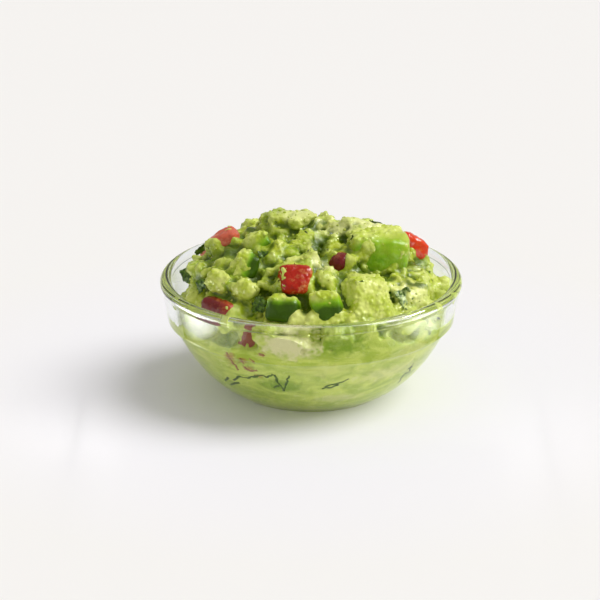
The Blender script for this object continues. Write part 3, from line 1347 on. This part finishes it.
def fine_leaf(node, name, seed):
    middle, right, up, normal, radius = leaf_plane(node)
    curl = 0.3 if node in HIDDEN_LEAVES else 1.0
    draw = random.Random(seed)
    phase = draw.uniform(0, math.tau)
    shape = bmesh.new()
    vein = shape.verts.layers.float.new("vein")
    hub = shape.verts.new(middle)
    rings = []
    for k in range(1, LEAF_RINGS + 1):
        share = k / LEAF_RINGS
        ring = []
        for i in range(LEAF_SPOKES):
            angle = math.tau * i / LEAF_SPOKES
            reach = 0.84 * radius * share * (1.0 + share * (lobed_outline(angle, phase) - 1.0))
            lift = 0.22 * share**2 * math.sin(2 * angle + phase)
            spot = middle + reach * (math.cos(angle) * right + math.sin(angle) * up)
            lift += 0.50 * share * noise.noise(Vector(spot) / (2.2 * MM))
            lift += 0.30 * share * noise.noise(Vector(spot) / (0.9 * MM))
            vertex = shape.verts.new(spot + curl * lift * radius * normal)
            from_rib = abs(math.sin(1.5 * angle)) * reach
            vertex[vein] = math.exp(-(from_rib / (0.25 * MM)) ** 2)
            ring.append(vertex)
        rings.append(ring)
    for i in range(LEAF_SPOKES):
        j = (i + 1) % LEAF_SPOKES
        shape.faces.new((hub, rings[0][i], rings[0][j]))
        for inner, outer in zip(rings, rings[1:]):
            shape.faces.new((inner[i], outer[i], outer[j], inner[j]))
    obj = add_object(name, from_bmesh(shape, name))
    thick = obj.modifiers.new("Thickness", "SOLIDIFY")
    thick.thickness = LEAF_THICKNESS
    thick.offset = 0.0
    make_plain(obj)
    obj.data.shade_smooth()
    return obj


def herb_material(name, dark, light, vein):
    made, tree, shader = new_material(name, Roughness=0.36)
    place = object_coordinates(tree)
    patches = spread(tree, noise_texture(tree, place, 1.0 * MM, 3.0), 0.4, 0.6)
    colour = mix_colours(tree, patches, dark, light)
    veins = spread(tree, kept_number(tree, "vein"), 0.2, 1.0)
    colour = mix_colours(tree, math_node(tree, "MULTIPLY", veins, 0.3), colour, vein)
    tree.links.new(colour, shader.inputs["Base Color"])
    shader.inputs["Specular IOR Level"].default_value = 0.25
    bump(tree, shader, noise_texture(tree, place, 0.5 * MM), 0.12 * MM, strength=0.6)
    return made


HERB = herb_material("coriander leaf", (0.028, 0.070, 0.004), (0.11, 0.20, 0.012), (0.12, 0.22, 0.02))
PALE_HERB = herb_material("wet coriander leaf", (0.05, 0.12, 0.01), (0.50, 0.62, 0.22), (0.45, 0.55, 0.22))
for i, node in enumerate(LEAF_NODES):
    leaf = fine_leaf(node, node + "_fine", 60 + i)
    leaf.data.materials.append(PALE_HERB if node == "coriander_leaf_front" else HERB)
    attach(leaf, BODY)
    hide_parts(node)
    print(leaf.name, triangles(leaf))

# %% [markdown]
# ## Herb flecks
# Chopping also leaves specks of leaf a millimetre across, all through the mash. They are small
# bent flakes with few faces, scattered lying on the heap.

# %% Herb flecks


def fleck_mesh(name, seed):
    """A bent flake about one millimetre across, as a thin closed solid."""
    draw = random.Random(seed)
    shape = bmesh.new()
    corners = []
    sides = 7
    for i in range(sides):
        angle = math.tau * i / sides
        reach = draw.uniform(0.45, 1.0) * MM
        bend = 0.35 * MM * math.sin(2 * angle + seed)
        corners.append(shape.verts.new((reach * math.cos(angle), 0.6 * reach * math.sin(angle), bend)))
    hub = shape.verts.new((0.0, 0.0, 0.1 * MM))
    for i in range(sides):
        shape.faces.new((hub, corners[i], corners[(i + 1) % sides]))
    bmesh.ops.solidify(shape, geom=shape.faces, thickness=0.16 * MM)
    bmesh.ops.recalc_face_normals(shape, faces=shape.faces)
    return from_bmesh(shape, name)


flecks = shape_store("fleck kinds")
for i in range(5):
    flecks.objects.link(bpy.data.objects.new(f"fleck_{i}", fleck_mesh(f"fleck_{i}", 700 + i)))
herb_bits = add_object("herb_flecks", heap.data.copy())
run_tree(herb_bits, SCATTER_FLAT, {"Shapes": flecks, "Finish": HERB, "Spacing": 7.5 * MM,
                                   "Density": 1.0e7, "Smallest": 0.5, "Largest": 1.3,
                                   "Sink": 0.0, "Tilt": 0.6, "Seed": 5})
keep_inside(herb_bits, 0.2 * MM)
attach(herb_bits, BODY)
print("herb flecks, triangles:", triangles(herb_bits))

# %% [markdown]
# ## Stems and shreds at the glass
# Through the glass thin dark stems show, and reddish shreds of tomato, pressed against the wall.
# Each is a short thread along the inside of the wall, given by a few points as x and height.

# %% Stems and shreds at the glass
STEM_RADIUS = 0.5 * MM
STEM_BENDS = 4
STEM_WAVER = 0.8
SHRED_RADIUS = 0.5 * MM
STEMS = [
    [(-21.5, 12.6), (-20.2, 14.6), (-17.6, 14.9), (-15.6, 16.4)],
    [(-16.4, 15.4), (-13.8, 17.0), (-12.2, 16.3), (-10.9, 17.9)],
    [(-10.4, 17.6), (-9.3, 15.2), (-7.9, 12.4)],
    [(-6.5, 18.3), (-6.8, 15.2), (-7.7, 11.7)],
    [(-8.8, 13.6), (-10.4, 12.6)],
    [(-22.4, 9.6), (-21.4, 11.2), (-20.0, 12.0)],
    [(-24.0, 11.0), (-23.2, 13.0)],
    [(3.0, 12.9), (5.2, 14.4), (8.0, 14.8), (10.4, 16.2)],
    [(3.6, 13.9), (5.4, 13.2), (7.6, 14.2)],
    [(24.0, 9.8), (25.2, 12.0), (27.4, 13.2), (28.0, 15.0)],
    [(27.0, 14.6), (28.6, 16.2)],
]
SHREDS = [
    [(-23.4, 23.0), (-22.8, 21.0), (-21.2, 18.8), (-20.4, 17.4)],
    [(-19.8, 21.6), (-18.8, 20.2)],
    [(-18.9, 18.9), (-17.0, 17.9), (-15.2, 18.6)],
    [(-15.0, 25.0), (-13.4, 24.2)],
    [(-17.4, 22.4), (-15.8, 21.6)],
]


def wall_radius(height):
    """Radius of the bowl's inside at that height."""
    wall = inside_of_bowl()[1:]
    return float(np.interp(height, [p.y for p in wall], [p.x for p in wall]))


def on_front_wall(x, z):
    """A point of the front wall's inside at x and z in millimetres."""
    radius = wall_radius(z * MM) + 0.5 * REACH_INTO_GLASS
    return Vector((x * MM, -math.sqrt(radius**2 - (x * MM) ** 2), z * MM))


def wavering(line):
    """The points of a line with smaller steps between them, each shifted a little."""
    points = []
    for (x, z), (next_x, next_z) in zip(line, line[1:]):
        for k in range(STEM_BENDS):
            share = k / STEM_BENDS
            spot = Vector((x + share * (next_x - x), z + share * (next_z - z), 0.0))
            shift = STEM_WAVER * noise.noise_vector(1.1 * spot)
            points.append((spot.x + shift.x, spot.y + shift.y))
    return points + [line[-1]]


def stem_object(name, lines, radius):
    """Threads of that radius along the wall, as one mesh."""
    data = bpy.data.curves.new(name, "CURVE")
    data.dimensions = "3D"
    data.bevel_depth = radius
    data.bevel_resolution = 1
    data.resolution_u = 3
    data.use_fill_caps = True
    for line in map(wavering, lines):
        spline = data.splines.new("NURBS")
        spline.points.add(len(line) - 1)
        for point, (x, z) in zip(spline.points, line):
            point.co = (*on_front_wall(x, z), 1.0)
            point.radius = 0.65 + 0.8 * noise.noise(Vector((1.3 * x, 1.3 * z, 0.0)))
        spline.use_endpoint_u = True
        spline.order_u = 3
    stems = add_object(name, data)
    graph = bpy.context.evaluated_depsgraph_get()
    mesh = bpy.data.meshes.new_from_object(stems.evaluated_get(graph))
    bpy.data.objects.remove(stems)
    shape = bmesh.new()
    shape.from_mesh(mesh)
    bmesh.ops.remove_doubles(shape, verts=shape.verts, dist=MERGE)
    bmesh.ops.recalc_face_normals(shape, faces=shape.faces)
    plain = add_object(name, from_bmesh(shape, name))
    plain.data.shade_smooth()
    return plain


stems = stem_object("herb_stems_at_glass", STEMS, STEM_RADIUS)
STEM = herb_material("coriander stem", (0.035, 0.085, 0.002), (0.10, 0.20, 0.006), (0.10, 0.20, 0.006))
stems.data.materials.append(STEM)
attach(stems, BODY)
shreds = stem_object("tomato_shreds_at_glass", SHREDS, SHRED_RADIUS)
mark(shreds.data, "skinward", np.full(len(shreds.data.vertices), 0.3))
shreds.data.materials.append(DULL_TOMATO)
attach(shreds, BODY)
print("stems and shreds, triangles:", triangles(stems), triangles(shreds))

# %% [markdown]
# ## Tidy up and measure
# The shapes that were only copied are removed. The box of the looks is kept beside the box of the
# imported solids, so that the two can be compared after each render.

# %% Tidy up and measure
for store in (curds, lumps, flecks):
    for obj in list(store.objects):
        bpy.data.objects.remove(obj)
    bpy.data.collections.remove(store)
